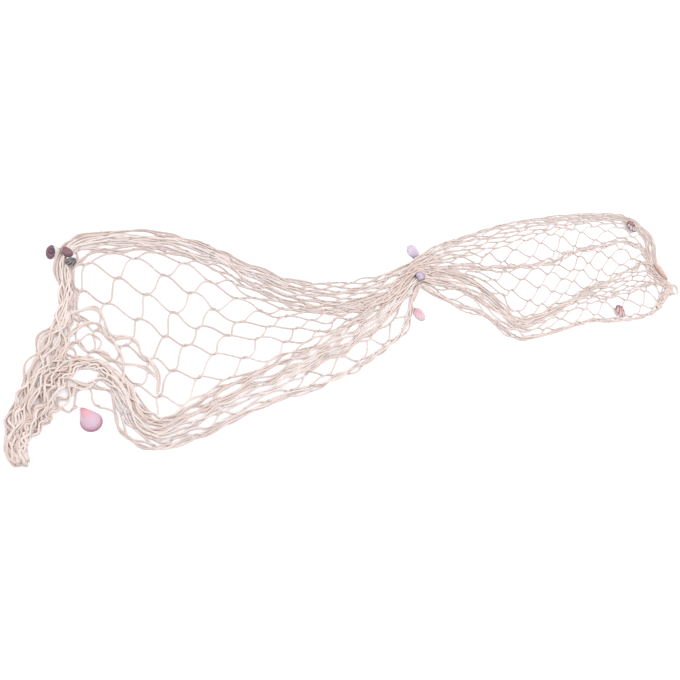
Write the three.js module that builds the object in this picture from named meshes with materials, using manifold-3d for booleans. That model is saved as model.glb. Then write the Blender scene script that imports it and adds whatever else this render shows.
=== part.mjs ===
// A decorative cotton fishing net with ten small sea shells. It was gathered in one hand at
// the waist and laid down, so it lies in two fans: a wide one with open meshes on the left
// that ends in a crumpled tail, and a narrow one on the right. Millimetres, +Z up; the origin
// is the middle of its bounding box, on the surface that it lies on. X runs along the net.
import * as THREE from 'three';
import { mergeVertices } from 'three/addons/utils/BufferGeometryUtils.js';
import Module from 'manifold-3d';

const wasm = await Module();
wasm.setup();

const CORD = 2.4; // diameter of the cotton cord
const LAST_COLUMN = 48; // knots are counted in columns along the net
const KNOT_HALF = 4; // half the length of a knot along the net
const MIN_MESH = 11; // meshes narrower than this are closed in the solid
const MAX_SKEW = 45; // meshes dragged further than this along the net are closed too
const OVERHANG = 0.5; // how far a fold's ridge stays inside the flat web
const COTTON = 0xe4d2c0;

// The net as folds of neighbouring knot rows. Each row of a table is a section through the
// fold: the knot column, the place of its middle, its width across the rows and its height.
const TOP_FOLD = [
  { column: 0, x: -744, y: -128, wide: 6, high: 8 },
  { column: 1, x: -742, y: -99, wide: 9, high: 11 },
  { column: 2, x: -730, y: -68, wide: 12, high: 13 },
  { column: 3, x: -705, y: -34, wide: 14, high: 14 },
  { column: 5, x: -657, y: 31, wide: 15, high: 10 },
  { column: 6, x: -636, y: 64, wide: 11, high: 9 },
  { column: 7, x: -627, y: 97, wide: 12, high: 8 },
  { column: 8, x: -619, y: 135, wide: 15, high: 8 },
  { column: 9, x: -594, y: 159, wide: 20, high: 8 },
  { column: 11, x: -512, y: 158, wide: 25, high: 8 },
  { column: 13, x: -440, y: 137, wide: 25, high: 8 },
  { column: 15, x: -375, y: 98, wide: 27, high: 8 },
  { column: 17, x: -314, y: 49, wide: 35, high: 8 },
  { column: 19, x: -243, y: 22, wide: 42, high: 8 },
  { column: 21, x: -166, y: 13, wide: 43, high: 8 },
  { column: 23, x: -90, y: 23, wide: 38, high: 9 },
  { column: 25, x: -14, y: 47, wide: 18, high: 12 },
  { column: 27, x: 66, y: 64, wide: 34, high: 9 },
  { column: 29, x: 147, y: 74, wide: 43, high: 8 },
  { column: 32, x: 275, y: 85, wide: 48, high: 7 },
  { column: 35, x: 400, y: 94, wide: 38, high: 7 },
  { column: 38, x: 525, y: 99, wide: 31, high: 7 },
  { column: 41, x: 655, y: 90, wide: 33, high: 8 },
  { column: 42, x: 701, y: 79, wide: 34, high: 8 },
  { column: 43, x: 739, y: 56, wide: 40, high: 8 },
  { column: 44, x: 745.6, y: 17, wide: 42, high: 8 },
  { column: 45, x: 720, y: -16, wide: 30, high: 8 },
  { column: 46, x: 709, y: -46, wide: 18, high: 6 },
  { column: 47, x: 711, y: -82, wide: 10, high: 5 },
  { column: 48, x: 722, y: -114, wide: 6, high: 5 },
];
const LOOSE_FOLD = [
  { column: 0, x: -740.5, y: -129, wide: 1.5 },
  { column: 1, x: -735.5, y: -101, wide: 4 },
  { column: 2, x: -719, y: -74, wide: 5 },
  { column: 3, x: -697, y: -41, wide: 6 },
  { column: 5, x: -646, y: 25, wide: 6 },
  { column: 6, x: -627, y: 61, wide: 5 },
  { column: 7, x: -617.5, y: 93, wide: 5 },
  { column: 8, x: -611, y: 123, wide: 6 },
  { column: 9, x: -586, y: 137, wide: 10 },
  { column: 11, x: -515, y: 136, wide: 12 },
  { column: 13, x: -444, y: 116, wide: 12 },
  { column: 15, x: -386, y: 76, wide: 14 },
  { column: 17, x: -326, y: 27, wide: 14 },
  { column: 19, x: -255, y: -2, wide: 9 },
  { column: 21, x: -180, y: -11, wide: 8 },
  { column: 23, x: -100, y: 0, wide: 8 },
  { column: 25, x: -20, y: 36, wide: 6 },
  { column: 27, x: 66, y: 42, wide: 10 },
  { column: 29, x: 149, y: 45, wide: 14 },
  { column: 32, x: 272, y: 46, wide: 26 },
  { column: 35, x: 392, y: 55, wide: 32 },
  { column: 38, x: 512, y: 62, wide: 36 },
  { column: 41, x: 632, y: 52, wide: 30 },
  { column: 43, x: 698, y: 20, wide: 18 },
  { column: 44, x: 710, y: -4, wide: 12 },
  { column: 45, x: 703, y: -28, wide: 7 },
  { column: 46, x: 697, y: -50, wide: 4 },
  { column: 47, x: 704, y: -84, wide: 3 },
  { column: 48, x: 718, y: -115, wide: 1.5 },
];
const OPEN_LINE = [
  { column: 0, x: -738.7, y: -129.3 },
  { column: 1, x: -731.5, y: -102.5 },
  { column: 2, x: -714, y: -77 },
  { column: 3, x: -690, y: -46 },
  { column: 5, x: -662, y: -6 },
  { column: 7, x: -622, y: -8 },
  { column: 8, x: -598, y: -11 },
  { column: 10, x: -547, y: -10 },
  { column: 12, x: -498, y: -3 },
  { column: 14, x: -440, y: 0 },
  { column: 16, x: -367, y: -2 },
  { column: 18, x: -285, y: -10 },
  { column: 21, x: -178, y: -18 },
  { column: 23, x: -104, y: -4 },
  { column: 25, x: -23, y: 28 },
  { column: 27, x: 62, y: 26 },
  { column: 29, x: 144, y: 14 },
  { column: 32, x: 260, y: 5 },
  { column: 35, x: 370, y: 0 },
  { column: 38, x: 480, y: -2 },
  { column: 41, x: 590, y: -1 },
  { column: 43, x: 667, y: -16 },
  { column: 44, x: 688, y: -30 },
  { column: 45, x: 695, y: -46 },
  { column: 46, x: 694, y: -63 },
  { column: 47, x: 702, y: -90 },
  { column: 48, x: 717, y: -116 },
];
const MAIN_FOLD = [
  { column: 0, x: -737, y: -129.6, wide: 3, high: 10 },
  { column: 1, x: -728.5, y: -103.5, wide: 5, high: 14 },
  { column: 2, x: -709, y: -80, wide: 12, high: 18 },
  { column: 3, x: -688, y: -57, wide: 17, high: 20 },
  { column: 4, x: -667, y: -37, wide: 14, high: 15 },
  { column: 5, x: -641, y: -22, wide: 10, high: 10 },
  { column: 6, x: -612, y: -32, wide: 10, high: 8 },
  { column: 7, x: -597, y: -61, wide: 13, high: 8 },
  { column: 8, x: -590.5, y: -100, wide: 19, high: 9 },
  { column: 9, x: -576, y: -130, wide: 29, high: 10 },
  { column: 10, x: -545, y: -133, wide: 30, high: 10 },
  { column: 12, x: -480, y: -116, wide: 37, high: 10 },
  { column: 14, x: -408, y: -103, wide: 42, high: 10 },
  { column: 16, x: -343, y: -90, wide: 43, high: 11 },
  { column: 18, x: -275, y: -76, wide: 43, high: 11 },
  { column: 20, x: -205, y: -59, wide: 42, high: 11 },
  { column: 22, x: -135, y: -37, wide: 36, high: 12 },
  { column: 24, x: -60, y: 3, wide: 26, high: 13 },
  { column: 25, x: -22, y: 22, wide: 16, high: 14 },
  { column: 26, x: 12, y: 12, wide: 30, high: 12 },
  { column: 27.6, x: 80, y: -8, wide: 42, high: 11 },
  { column: 29, x: 132, y: -50, wide: 46, high: 10 },
  { column: 30.5, x: 160, y: -108, wide: 42, high: 10 },
  { column: 31.3, x: 188, y: -116, wide: 34, high: 9 },
  { column: 33, x: 262, y: -104, wide: 30, high: 9 },
  { column: 35.2, x: 345, y: -92, wide: 33, high: 8 },
  { column: 37.5, x: 430, y: -81, wide: 34, high: 8 },
  { column: 40, x: 515, y: -80, wide: 36, high: 8 },
  { column: 42.2, x: 600, y: -75, wide: 38, high: 8 },
  { column: 44.5, x: 675, y: -79, wide: 30, high: 8 },
  { column: 45.5, x: 699, y: -93, wide: 18, high: 8 },
  { column: 46.7, x: 709, y: -106, wide: 10, high: 7 },
  { column: 48, x: 716, y: -120, wide: 5, high: 5 },
];
const LOW_FOLD = [
  { column: 0, x: -734.5, y: -130, wide: 2, high: 8 },
  { column: 1, x: -725.5, y: -105, wide: 3, high: 10 },
  { column: 2, x: -702, y: -90, wide: 7, high: 12 },
  { column: 3.6, x: -675, y: -60, wide: 14, high: 12 },
  { column: 4.6, x: -646, y: -47.5, wide: 13, high: 10 },
  { column: 5.6, x: -614, y: -59.5, wide: 14, high: 8 },
  { column: 6.6, x: -606, y: -91, wide: 12, high: 7 },
  { column: 7.6, x: -608, y: -124, wide: 12, high: 7 },
  { column: 8.6, x: -589, y: -151, wide: 12, high: 7 },
  { column: 10.5, x: -530, y: -152, wide: 15, high: 7 },
  { column: 12.7, x: -457, y: -139, wide: 18, high: 7 },
  { column: 14.8, x: -385, y: -126, wide: 22, high: 7 },
  { column: 16.8, x: -312, y: -119, wide: 24, high: 7 },
  { column: 18.8, x: -240, y: -111, wide: 22, high: 7 },
  { column: 20.7, x: -170, y: -91, wide: 19, high: 7 },
  { column: 22.3, x: -108, y: -68, wide: 20, high: 8 },
  { column: 23.4, x: -75, y: -36, wide: 18, high: 9 },
  { column: 24.3, x: -52, y: -4, wide: 14, high: 11 },
  { column: 25, x: -26, y: 11, wide: 10, high: 12 },
  { column: 26, x: -2, y: -10, wide: 16, high: 10 },
  { column: 27.6, x: 52, y: -44, wide: 16, high: 8 },
  { column: 29.5, x: 112, y: -84, wide: 16, high: 8 },
  { column: 30.5, x: 138, y: -123, wide: 18, high: 8 },
  { column: 32.5, x: 218, y: -136, wide: 18, high: 7 },
  { column: 34.5, x: 300, y: -132, wide: 18, high: 7 },
  { column: 36.7, x: 385, y: -130, wide: 17, high: 7 },
  { column: 38.8, x: 465, y: -146, wide: 18, high: 7 },
  { column: 41, x: 550, y: -152, wide: 20, high: 7 },
  { column: 43, x: 630, y: -139, wide: 26, high: 7 },
  { column: 44.8, x: 680, y: -120, wide: 24, high: 7 },
  { column: 46.4, x: 705, y: -118, wide: 10, high: 7 },
  { column: 48, x: 715, y: -125, wide: 3, high: 5 },
];
// The last knot row alone. It follows the low fold, and hangs off it in slack loops beside
// the tail and right of the waist.
const EDGE_LINE = [
  { column: 0, x: -732.5, y: -130.4 },
  { column: 1, x: -723.5, y: -106.5 },
  { column: 2, x: -697, y: -94 },
  { column: 3.6, x: -668, y: -80 },
  { column: 4.6, x: -650, y: -78 },
  { column: 6.4, x: -625, y: -92 },
  { column: 7.6, x: -619, y: -125 },
  { column: 8.6, x: -592, y: -159 },
  { column: 10.5, x: -531, y: -162 },
  { column: 12.7, x: -455, y: -151 },
  { column: 14.8, x: -383, y: -141 },
  { column: 16.8, x: -309, y: -134 },
  { column: 18.8, x: -235, y: -125 },
  { column: 20.7, x: -163, y: -103 },
  { column: 22.3, x: -99, y: -80 },
  { column: 23.4, x: -69, y: -43 },
  { column: 24.3, x: -46, y: -10.5 },
  { column: 25, x: -23, y: 4 },
  { column: 26, x: 2, y: -27 },
  { column: 27.8, x: 62, y: -65 },
  { column: 29.5, x: 116, y: -100 },
  { column: 30.7, x: 142, y: -138 },
  { column: 32.6, x: 220, y: -149 },
  { column: 34.6, x: 301, y: -144 },
  { column: 36.7, x: 386, y: -142 },
  { column: 38.8, x: 466, y: -159 },
  { column: 41, x: 552, y: -162 },
  { column: 43.1, x: 635, y: -154 },
  { column: 44.9, x: 688, y: -136 },
  { column: 46.5, x: 709, y: -126 },
  { column: 48, x: 716, y: -128 },
];
// Which knot rows, counted from the top edge, each fold holds.
const FOLDS = [
  { first: 0, last: 11, table: TOP_FOLD },
  { first: 12, last: 15, table: LOOSE_FOLD },
  { first: 19, last: 19, table: OPEN_LINE },
  { first: 23, last: 36, table: MAIN_FOLD },
  { first: 37, last: 41, table: LOW_FOLD },
  { first: 42, last: 42, table: EDGE_LINE },
];
const LAST_ROW = 42;
// The shells: the middle of each, the height of its underside, the way its rim points in
// degrees from +X, its size, and how many ribs it has.
const SHELLS = [
  {
    name: 'shell_clam', ribs: 0, color: 0xd8a2ad,
    x: -647.5, y: -98.5, z: 0, heading: -68, long: 36, wide: 28, high: 10,
  },
  {
    name: 'shell_corner_dark', ribs: 3, color: 0x523240,
    x: -634, y: 147, z: 0, heading: -110, long: 22, wide: 12, high: 8,
  },
  {
    name: 'shell_corner_brown', ribs: 3, color: 0x704c5a,
    x: -614.5, y: 140, z: 8.3, heading: -60, long: 17, wide: 13, high: 7,
  },
  {
    name: 'shell_corner_striped', ribs: 4, color: 0x30272c,
    x: -613.5, y: 125, z: 8.3, heading: -165, long: 16, wide: 11, high: 6,
  },
  {
    name: 'shell_waist_lavender', ribs: 6, color: 0xb9a8c9,
    x: -4.5, y: 74.6, z: 0, heading: 68, long: 30, wide: 27, high: 9,
  },
  {
    name: 'shell_waist_white', ribs: 5, color: 0xc8bcd4,
    x: -27, y: 17, z: 14, heading: 10, long: 21, wide: 18, high: 7,
  },
  {
    name: 'shell_waist_pink', ribs: 6, color: 0xe4b2b0,
    x: -55, y: -49.5, z: 0, heading: -70, long: 28, wide: 22, high: 8,
  },
  {
    name: 'shell_right_red', ribs: 6, color: 0x8a4a42,
    x: 691, y: 59, z: 8.3, heading: -72, long: 32, wide: 28, high: 9,
  },
  {
    name: 'shell_right_striped', ribs: 6, color: 0xb07a70,
    x: 484.5, y: -138, z: 7.3, heading: -76, long: 31, wide: 24, high: 9,
  },
  {
    name: 'shell_end_tan', ribs: 0, color: 0xa88166,
    x: 707, y: -69, z: 7.3, heading: -71.5, long: 50, wide: 19, high: 9,
  },
];

// Reads one column of a table at any place along the net, as a smooth cubic through its rows.
function read(table, key, column) {
  const slope = (k) => {
    const before = table[Math.max(k - 1, 0)];
    const after = table[Math.min(k + 1, table.length - 1)];
    return (after[key] - before[key]) / (after.column - before.column);
  };
  let k = 0;
  while (k < table.length - 2 && table[k + 1].column < column) k += 1;
  const span = table[k + 1].column - table[k].column;
  const t = (column - table[k].column) / span;
  const rise = table[k + 1][key] - table[k][key];
  const lift = slope(k) * span - rise;
  const drop = slope(k + 1) * span - rise;
  return table[k][key] + rise * t + t * (1 - t) * (lift * (1 - t) - drop * t);
}

// The place of a fold's middle and the direction to its left.
function section(table, column) {
  const step = 0.05;
  const at = new THREE.Vector2(read(table, 'x', column), read(table, 'y', column));
  const from = Math.max(column - step, 0);
  const to = Math.min(column + step, LAST_COLUMN);
  const dx = read(table, 'x', to) - read(table, 'x', from);
  const dy = read(table, 'y', to) - read(table, 'y', from);
  return { at, left: new THREE.Vector2(-dy, dx).normalize() };
}

// The place of the knot in a column and a row; between two folds the rows are spread evenly.
function knot(column, row) {
  const k = FOLDS.findLastIndex((fold) => fold.first <= row);
  const fold = FOLDS[k];
  if (row > fold.last) {
    const next = FOLDS[k + 1];
    const share = (row - fold.last) / (next.first - fold.last);
    return knot(column, fold.last).lerp(knot(column, next.first), share);
  }
  const { at, left } = section(fold.table, column);
  if (fold.first === fold.last) return at;
  const wide = read(fold.table, 'wide', column);
  const share = (row - fold.first) / (fold.last - fold.first);
  return at.addScaledVector(left, wide * (0.5 - share));
}

// Moves each side of a closed outline inwards by one distance.
function inset(outline, distance) {
  return outline.map((point, k) => {
    const before = outline[(k + outline.length - 1) % outline.length];
    const after = outline[(k + 1) % outline.length];
    const a = point.clone().sub(before).normalize();
    const b = after.clone().sub(point).normalize();
    const inward = new THREE.Vector2(-a.y - b.y, a.x + b.x);
    return point.clone().addScaledVector(inward, distance / (1 + a.dot(b)));
  });
}

// The sides of a closed outline, as vectors.
function sides(outline) {
  return outline.map((point, k) => outline[(k + 1) % outline.length].clone().sub(point));
}

// True when an outline bulges all round and still has all its sides after it was inset.
function isWhole(outline, hole) {
  const outer = sides(outline);
  const inner = sides(hole);
  return outer.every((side, k) => {
    const next = outer[(k + 1) % outer.length];
    return side.cross(next) > 0 && side.dot(inner[k]) > 0;
  });
}

// The place of one end of a knot: side 1 is its end towards the right, side -1 towards the left.
function knotEnd(column, row, side) {
  const along = knot(column + 1, row).sub(knot(column - 1, row)).normalize();
  return knot(column, row).addScaledVector(along, side * KNOT_HALF);
}

// The opening of the mesh around a column and a row, or null where the mesh is pulled shut.
function meshHole(column, row) {
  const along = knot(column + 1, row).sub(knot(column - 1, row)).normalize();
  const spread = knot(column, row - 1).sub(knot(column, row + 1));
  const skew = Math.abs(spread.dot(along));
  const width = -spread.cross(along) - CORD;
  if (width < MIN_MESH || skew > MAX_SKEW) return null;
  const outline = [
    knotEnd(column - 1, row, 1),
    knotEnd(column, row + 1, -1),
    knotEnd(column, row + 1, 1),
    knotEnd(column + 1, row, -1),
    knotEnd(column, row - 1, 1),
    knotEnd(column, row - 1, -1),
  ];
  const hole = inset(outline, CORD / 2);
  return isWhole(outline, hole) ? hole : null;
}

// The flat web: everything between the first and the last knot row, with its open meshes.
function webGeometry() {
  const upper = [];
  const lower = [];
  for (let column = 0; column <= LAST_COLUMN; column += 1) {
    upper.push(knot(column, 0));
    lower.push(knot(column, LAST_ROW));
  }
  const outline = inset([...lower, ...upper.reverse()], -CORD / 2);
  const shape = new THREE.Shape(outline);
  for (let row = 1; row < LAST_ROW; row += 1) {
    for (let column = 3 - (row % 2); column < LAST_COLUMN - 1; column += 2) {
      const hole = meshHole(column, row);
      if (hole) shape.holes.push(new THREE.Path(hole));
    }
  }
  return new THREE.ExtrudeGeometry(shape, { depth: CORD, bevelEnabled: false });
}

// Joins rings of points, one after the other and closed at both ends, into one skin.
function skin(rings) {
  const size = rings[0].length;
  const faces = [];
  for (let k = 0; k < rings.length - 1; k += 1) {
    for (let m = 0; m < size; m += 1) {
      const n = (m + 1) % size;
      faces.push(k * size + m, k * size + n, (k + 1) * size + n);
      faces.push(k * size + m, (k + 1) * size + n, (k + 1) * size + m);
    }
  }
  const last = (rings.length - 1) * size;
  for (let m = 1; m < size - 1; m += 1) {
    faces.push(0, m + 1, m);
    faces.push(last, last + m, last + m + 1);
  }
  const geometry = new THREE.BufferGeometry();
  const places = rings.flat().flatMap((point) => [point.x, point.y, point.z]);
  geometry.setAttribute('position', new THREE.Float32BufferAttribute(places, 3));
  geometry.setIndex(faces);
  return geometry;
}

// The rounded ridge in which a gathered fold stands above the web.
function ridgeGeometry(table) {
  const arch = [
    { across: 1, rise: 0 },
    { across: 0.86, rise: 0.6 },
    { across: 0.4, rise: 1 },
    { across: -0.4, rise: 1 },
    { across: -0.86, rise: 0.6 },
    { across: -1, rise: 0 },
  ];
  const rings = [];
  for (let column = 0.5; column <= LAST_COLUMN - 0.5; column += 1) {
    const { at, left } = section(table, column);
    const half = read(table, 'wide', column) / 2 - OVERHANG;
    const high = read(table, 'high', column);
    rings.push(arch.map(({ across, rise }) => {
      const point = at.clone().addScaledVector(left, across * half);
      return new THREE.Vector3(point.x, point.y, CORD / 2 + rise * (high - CORD / 2));
    }));
  }
  return skin(rings);
}

// A closed three.js geometry as a solid that can be joined and cut.
function solid(geometry) {
  const bare = geometry.clone();
  bare.deleteAttribute('normal');
  bare.deleteAttribute('uv');
  const merged = mergeVertices(bare, 1e-3);
  const vertProperties = new Float32Array(merged.attributes.position.array);
  const triVerts = new Uint32Array(merged.index.array);
  return new wasm.Manifold(new wasm.Mesh({ numProp: 3, vertProperties, triVerts }));
}

// A joined or cut solid as a three.js geometry.
function geometryOf(manifold) {
  const mesh = manifold.getMesh();
  const geometry = new THREE.BufferGeometry();
  const places = Float32Array.from(mesh.vertProperties);
  geometry.setAttribute('position', new THREE.BufferAttribute(places, 3));
  geometry.setIndex(new THREE.BufferAttribute(Uint32Array.from(mesh.triVerts), 1));
  return geometry;
}

// The share of a shell's width and height at a share of its length, from beak to rim.
const SHELL_SECTIONS = [
  { along: 0, wide: 0.1, high: 0.2 },
  { along: 0.12, wide: 0.42, high: 0.62 },
  { along: 0.3, wide: 0.74, high: 0.94 },
  { along: 0.52, wide: 0.96, high: 1 },
  { along: 0.72, wide: 1, high: 0.84 },
  { along: 0.88, wide: 0.82, high: 0.54 },
  { along: 1, wide: 0.4, high: 0.16 },
];

// One shell, lying on its rim with its back up: a dome with ribs that run from beak to rim.
function shellGeometry({ long, wide, high, ribs }) {
  const steps = Math.max(2 * ribs, 8);
  const groove = ribs > 0 ? 0.12 : 0;
  const rings = SHELL_SECTIONS.map((share) => {
    const ring = [];
    for (let k = 0; k <= steps; k += 1) {
      const angle = (Math.PI * k) / steps;
      const dent = 1 - groove * (k % 2 === 0 ? 1 : 0);
      const x = (-Math.cos(angle) * share.wide * wide) / 2;
      const rise = Math.sin(angle) * share.high * high * dent;
      ring.push(new THREE.Vector3(x, (share.along - 0.5) * long, rise));
    }
    return ring;
  });
  return skin(rings);
}

function namedMesh(name, geometry, color, roughness) {
  const material = new THREE.MeshStandardMaterial({ color, roughness, metalness: 0 });
  const mesh = new THREE.Mesh(geometry, material);
  mesh.name = name;
  return mesh;
}

function net() {
  let body = solid(webGeometry());
  for (const table of [TOP_FOLD, MAIN_FOLD, LOW_FOLD]) {
    body = body.add(solid(ridgeGeometry(table)));
  }
  return body;
}

const body = net();
const { min, max } = body.boundingBox();
const part = new THREE.Group();
part.position.set(-(min[0] + max[0]) / 2, -(min[1] + max[1]) / 2, 0);
part.add(namedMesh('net', geometryOf(body), COTTON, 0.95));
for (const shell of SHELLS) {
  const mesh = namedMesh(shell.name, shellGeometry(shell), shell.color, 0.35);
  mesh.position.set(shell.x, shell.y, shell.z);
  mesh.rotation.z = THREE.MathUtils.degToRad(shell.heading - 90);
  part.add(mesh);
}

export default part;
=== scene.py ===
import bpy
import numpy as np
from mathutils import Matrix, Vector


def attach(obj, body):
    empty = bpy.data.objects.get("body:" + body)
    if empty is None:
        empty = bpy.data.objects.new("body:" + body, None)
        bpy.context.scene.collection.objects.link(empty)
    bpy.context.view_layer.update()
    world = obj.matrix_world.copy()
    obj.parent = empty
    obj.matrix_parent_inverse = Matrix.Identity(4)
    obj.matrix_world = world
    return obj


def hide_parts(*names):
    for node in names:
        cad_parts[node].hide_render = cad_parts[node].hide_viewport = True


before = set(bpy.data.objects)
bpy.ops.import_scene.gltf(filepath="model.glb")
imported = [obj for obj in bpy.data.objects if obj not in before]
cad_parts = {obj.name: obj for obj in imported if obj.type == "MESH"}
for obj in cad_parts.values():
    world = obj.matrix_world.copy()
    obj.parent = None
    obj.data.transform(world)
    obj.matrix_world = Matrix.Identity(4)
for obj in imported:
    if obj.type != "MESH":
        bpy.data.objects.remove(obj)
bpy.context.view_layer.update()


# ---- Camera -------------------------------------------------------------------------------
# It stands beyond the net's lower left at 0.87 m, looks down at the waist by 52 degrees, and
# is rolled so that the net runs up to the right. A 36 mm lens on a 36 mm sensor.
camera = bpy.data.objects.new("camera", bpy.data.cameras.new("camera"))
camera.data.lens = 36
camera.data.sensor_width = 36
camera.data.clip_start = 0.01
camera.data.clip_end = 50
heading, down, roll = np.radians((24.3937, 52, 48))
turn = Matrix.Rotation(heading - np.pi / 2, 4, "Z") @ Matrix.Rotation(np.pi / 2 - down, 4, "X")
turn @= Matrix.Rotation(roll, 4, "Z")
camera.matrix_world = Matrix.Translation((-0.86730, -0.35211, 0.87385)) @ turn
bpy.context.scene.collection.objects.link(camera)
bpy.context.scene.camera = camera


# ---- Surface and light --------------------------------------------------------------------
# A white studio surface under the net, lit a little from below like a light table. Large
# soft lights stand on both sides and overhead, so the shadows are faint and short.
surface = bpy.data.objects.new("surface", bpy.data.meshes.new("surface"))
surface.data.from_pydata(
    [(-6, -6, -0.0003), (6, -6, -0.0003), (6, 6, -0.0003), (-6, 6, -0.0003)], [], [(0, 1, 2, 3)]
)
bpy.context.scene.collection.objects.link(surface)


def plug(tree, value, socket):
    """Links another node's output to an input, or sets the input's own value."""
    if isinstance(value, bpy.types.NodeSocket):
        tree.links.new(value, socket)
    else:
        socket.default_value = value


def add_node(tree, kind, settings=(), **values):
    """A new node with its settings, and with values or other nodes' outputs in its inputs."""
    node = tree.nodes.new(kind)
    for setting, value in dict(settings).items():
        setattr(node, setting, value)
    for name, value in values.items():
        plug(tree, value, node.inputs[name.replace("_", " ")])
    return node


def new_material(name, **look):
    """A material, its tree, and its shader with the values that are the same all over."""
    material = bpy.data.materials.new(name)
    material.use_nodes = True
    shader = material.node_tree.nodes["Principled BSDF"]
    for socket, value in look.items():
        shader.inputs[socket.replace("_", " ")].default_value = value
    return material, material.node_tree, shader


def mottle(tree, scale, detail):
    """Soft random blotches that stay fixed to the piece, from 0 to 1."""
    place = add_node(tree, "ShaderNodeTexCoord").outputs["Object"]
    noise = add_node(tree, "ShaderNodeTexNoise", Vector=place, Scale=scale, Detail=detail)
    return noise.outputs["Fac"]


def mixed(tree, share, first, second, blend="MIX"):
    """A share of the second colour over the first. Each is an output or a plain colour."""
    first, second = [(*one, 1) if isinstance(one, tuple) else one for one in (first, second)]
    settings = {"data_type": "RGBA", "blend_type": blend}
    node = add_node(tree, "ShaderNodeMix", settings, Factor=share, A=first, B=second)
    return node.outputs["Result"]


white_paper, tree, paper = new_material(
    "white paper", Roughness=0.9, Specular_IOR_Level=0.1, Emission_Color=(1, 1, 1, 1),
    Emission_Strength=0.1,
)
tone = mixed(tree, mottle(tree, 1.5, 2), (0.93, 0.93, 0.935), (0.97, 0.97, 0.97))
plug(tree, tone, paper.inputs["Base Color"])
surface.data.materials.append(white_paper)

SOFTBOXES = [
    # name, x, y, z, width in metres, watts
    ("overhead", 0.2, 0.1, 2.2, 2.4, 30),
    ("left window", -2.2, 1.2, 1.6, 1.6, 16),
    ("right fill", 2.0, -1.6, 1.8, 1.8, 9),
]
for name, x, y, z, width, watts in SOFTBOXES:
    lamp = bpy.data.lights.new(name, "AREA")
    lamp.size = width
    lamp.energy = watts
    box = bpy.data.objects.new(name, lamp)
    box.location = (x, y, z)
    box.rotation_euler = Vector((x, y, z)).to_track_quat("Z", "Y").to_euler()
    bpy.context.scene.collection.objects.link(box)

studio = bpy.data.worlds.new("studio")
studio.use_nodes = True
sky = studio.node_tree.nodes["Background"]
sky.inputs["Color"].default_value = (0.97, 0.98, 1, 1)
sky.inputs["Strength"].default_value = 0.85
bpy.context.scene.world = studio
bpy.context.scene.view_settings.view_transform = "Standard"


# ---- The net as it lies -------------------------------------------------------------------
# One piece of knotted cotton netting, 45 mm from knot to knot, worked in 42 runs of twine
# over 48 columns of half meshes. The tables follow its folds of neighbouring knot rows, and
# CENTRE is where the middle that they are measured from lies in the part. In mm.
LAST_COLUMN = 48
LAST_ROW = 42
CORD = 2.4
FUZZY_CORD = 2.8  # with its loose fibres
BAR = 45.0  # from knot to knot
STEPS = 12  # in a bar
CENTRE = np.array([-9.4570, -5.0235])


def fold(rows):
    """The knot columns of a fold, each with its middle x and y, how wide and how high it is.
    A single line of knots has no width, and loose knots are not heaped."""
    rows = np.array(rows, float)
    return np.pad(rows, ((0, 0), (0, 5 - rows.shape[1])))


TOP_FOLD = fold([
    # column, x, y, wide, high
    [0, -744, -128, 6, 8],
    [1, -742, -99, 9, 11],
    [2, -730, -68, 12, 13],
    [3, -705, -34, 14, 14],
    [5, -657, 31, 15, 10],
    [6, -636, 64, 11, 9],
    [7, -627, 97, 12, 8],
    [8, -619, 135, 15, 8],
    [9, -594, 159, 20, 8],
    [11, -512, 158, 25, 8],
    [13, -440, 137, 25, 8],
    [15, -375, 98, 27, 8],
    [17, -314, 49, 35, 8],
    [19, -243, 22, 42, 8],
    [21, -166, 13, 43, 8],
    [23, -90, 23, 38, 9],
    [25, -14, 47, 18, 12],
    [27, 66, 64, 34, 9],
    [29, 147, 74, 43, 8],
    [32, 275, 85, 48, 7],
    [35, 400, 94, 38, 7],
    [38, 525, 99, 31, 7],
    [41, 655, 90, 33, 8],
    [42, 701, 79, 34, 8],
    [43, 739, 56, 40, 8],
    [44, 745.6, 17, 42, 8],
    [45, 720, -16, 30, 8],
    [46, 709, -46, 18, 6],
    [47, 711, -82, 10, 5],
    [48, 722, -114, 6, 5],
])
LOOSE_FOLD = fold([
    # column, x, y, wide
    [0, -740.5, -129, 1.5],
    [1, -735.5, -101, 4],
    [2, -719, -74, 5],
    [3, -697, -41, 6],
    [5, -646, 25, 6],
    [6, -627, 61, 5],
    [7, -617.5, 93, 5],
    [8, -611, 123, 6],
    [9, -586, 137, 10],
    [11, -515, 136, 12],
    [13, -444, 116, 12],
    [15, -386, 76, 14],
    [17, -326, 27, 14],
    [19, -255, -2, 9],
    [21, -180, -11, 8],
    [23, -100, 0, 8],
    [25, -20, 36, 6],
    [27, 66, 42, 10],
    [29, 149, 45, 14],
    [32, 272, 46, 26],
    [35, 392, 55, 32],
    [38, 512, 62, 36],
    [41, 632, 52, 30],
    [43, 698, 20, 18],
    [44, 710, -4, 12],
    [45, 703, -28, 7],
    [46, 697, -50, 4],
    [47, 704, -84, 3],
    [48, 718, -115, 1.5],
])
OPEN_LINE = fold([
    # column, x, y
    [0, -738.7, -129.3],
    [1, -731.5, -102.5],
    [2, -714, -77],
    [3, -690, -46],
    [5, -662, -6],
    [7, -622, -8],
    [8, -598, -11],
    [10, -547, -10],
    [12, -498, -3],
    [14, -440, 0],
    [16, -367, -2],
    [18, -285, -10],
    [21, -178, -18],
    [23, -104, -4],
    [25, -23, 28],
    [27, 62, 26],
    [29, 144, 14],
    [32, 260, 5],
    [35, 370, 0],
    [38, 480, -2],
    [41, 590, -1],
    [43, 667, -16],
    [44, 688, -30],
    [45, 695, -46],
    [46, 694, -63],
    [47, 702, -90],
    [48, 717, -116],
])
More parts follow.
